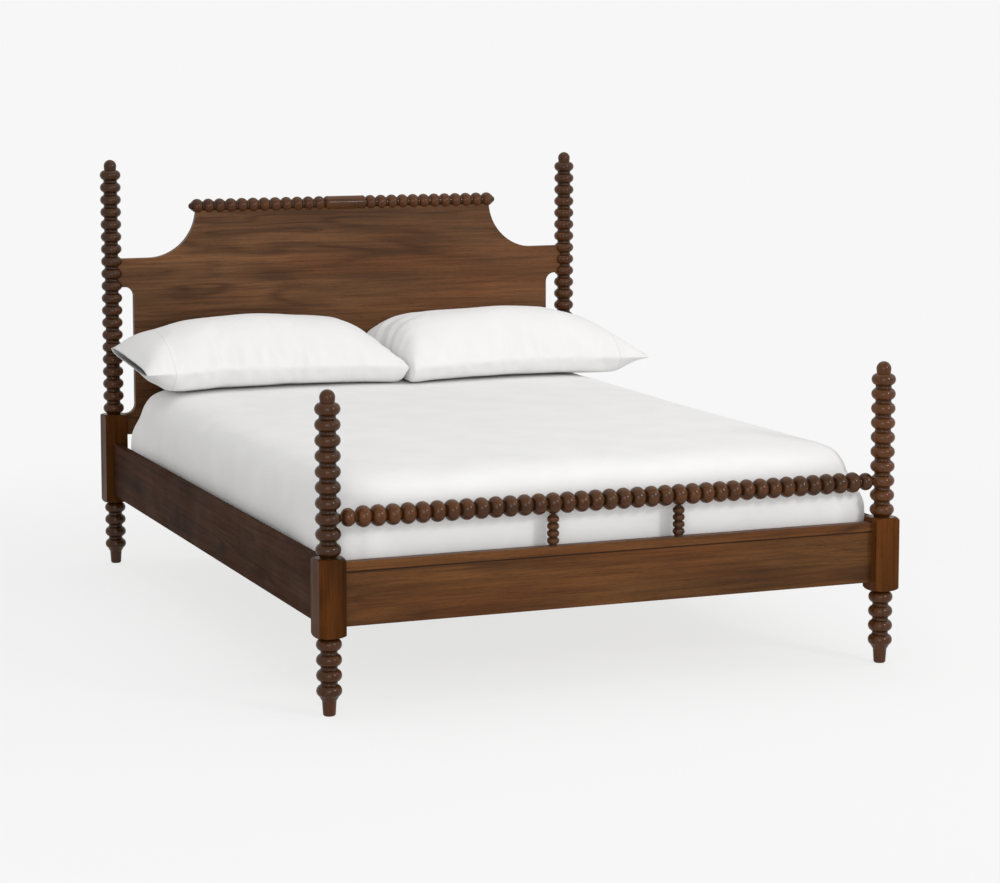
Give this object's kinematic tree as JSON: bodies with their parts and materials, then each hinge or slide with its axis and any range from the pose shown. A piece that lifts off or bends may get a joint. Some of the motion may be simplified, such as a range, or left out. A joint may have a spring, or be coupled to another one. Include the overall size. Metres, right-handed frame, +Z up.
{
  "type": "spindle bed",
  "caption": "Spool-turned four-post wooden bed: shaped headboard panel with beaded crest, low footboard with beaded spindle, slat base, fitted mattress and two pillows.",
  "frame": {"origin": "on the floor, midway between the axes of the four posts", "axes": "+X to the sleeper's left when lying on their back (the right-hand side seen from the foot end), +Y from the footboard to the headboard, +Z up"},
  "size_m": [1.653, 2.253, 1.3067],
  "materials": {
    "stained_hardwood": "dark walnut stain, satin lacquer",
    "inner_softwood": "planed, unfinished",
    "dowel_wood": "fluted beech, unfinished",
    "plated_steel": "zinc plated",
    "leveler_plastic": "moulded black nylon",
    "glide_plastic": "moulded brown nylon",
    "sheet_fabric": "white cotton percale fitted sheet",
    "pillowcase_fabric": "white cotton percale pillowcase"
  },
  "bodies": {
    "bed": {"headboard_post_left": "stained_hardwood", "headboard_post_right": "stained_hardwood", "footboard_post_left": "stained_hardwood", "footboard_post_right": "stained_hardwood", "headboard_panel": "stained_hardwood", "crest_rail": "stained_hardwood", "footboard_panel": "stained_hardwood", "footboard_cap_rail": "stained_hardwood", "footboard_spindle": "stained_hardwood", "baluster_left": "stained_hardwood", "baluster_right": "stained_hardwood", "side_rail_left": "stained_hardwood", "side_rail_right": "stained_hardwood", "headboard_stretcher": "inner_softwood", "rail_cleat_left": "inner_softwood", "rail_cleat_right": "inner_softwood", "centre_beam": "inner_softwood", "support_leg_front": "inner_softwood", "support_leg_rear": "inner_softwood", "slat_01": "inner_softwood", "slat_02": "inner_softwood", "slat_03": "inner_softwood", "slat_04": "inner_softwood", "slat_05": "inner_softwood", "slat_06": "inner_softwood", "slat_07": "inner_softwood", "slat_08": "inner_softwood", "slat_09": "inner_softwood", "slat_10": "inner_softwood", "slat_11": "inner_softwood", "slat_12": "inner_softwood", "slat_13": "inner_softwood", "crest_dowels": "dowel_wood", "leg_dowels": "dowel_wood", "cleat_screws": "plated_steel", "slat_screws": "plated_steel", "rail_fitting_screws": "plated_steel", "hanger_screws": "plated_steel", "beam_hanger_foot": "plated_steel", "beam_hanger_head": "plated_steel", "leveler_insert_front": "plated_steel", "leveler_insert_rear": "plated_steel", "post_plate_foot_left": "plated_steel", "post_plate_foot_right": "plated_steel", "post_plate_head_left": "plated_steel", "post_plate_head_right": "plated_steel", "rail_hook_foot_left": "plated_steel", "rail_hook_foot_right": "plated_steel", "rail_hook_head_left": "plated_steel", "rail_hook_head_right": "plated_steel", "foot_glides": "glide_plastic"},
    "mattress_body": {"mattress": "sheet_fabric"},
    "pillow_left_body": {"pillow_left": "pillowcase_fabric"},
    "pillow_right_body": {"pillow_right": "pillowcase_fabric"},
    "leveler_front_body": {"leveler_front": "leveler_plastic"},
    "leveler_rear_body": {"leveler_rear": "leveler_plastic"}
  },
  "joints": [
    {"name": "mattress_lift", "type": "slide", "parent": "bed", "child": "mattress_body", "axis": [0, 0, 1], "range_m": [0, 0.45]},
    {"name": "pillow_left_lift", "type": "slide", "parent": "mattress_body", "child": "pillow_left_body", "axis": [0, 0, 1], "range_m": [0, 0.3]},
    {"name": "pillow_right_lift", "type": "slide", "parent": "mattress_body", "child": "pillow_right_body", "axis": [0, 0, 1], "range_m": [0, 0.3]},
    {"name": "leveler_front_screw", "type": "slide", "parent": "bed", "child": "leveler_front_body", "axis": [0, 0, 1], "range_m": [0, 0.012]},
    {"name": "leveler_rear_screw", "type": "slide", "parent": "bed", "child": "leveler_rear_body", "axis": [0, 0, 1], "range_m": [0, 0.012]}
  ]
}
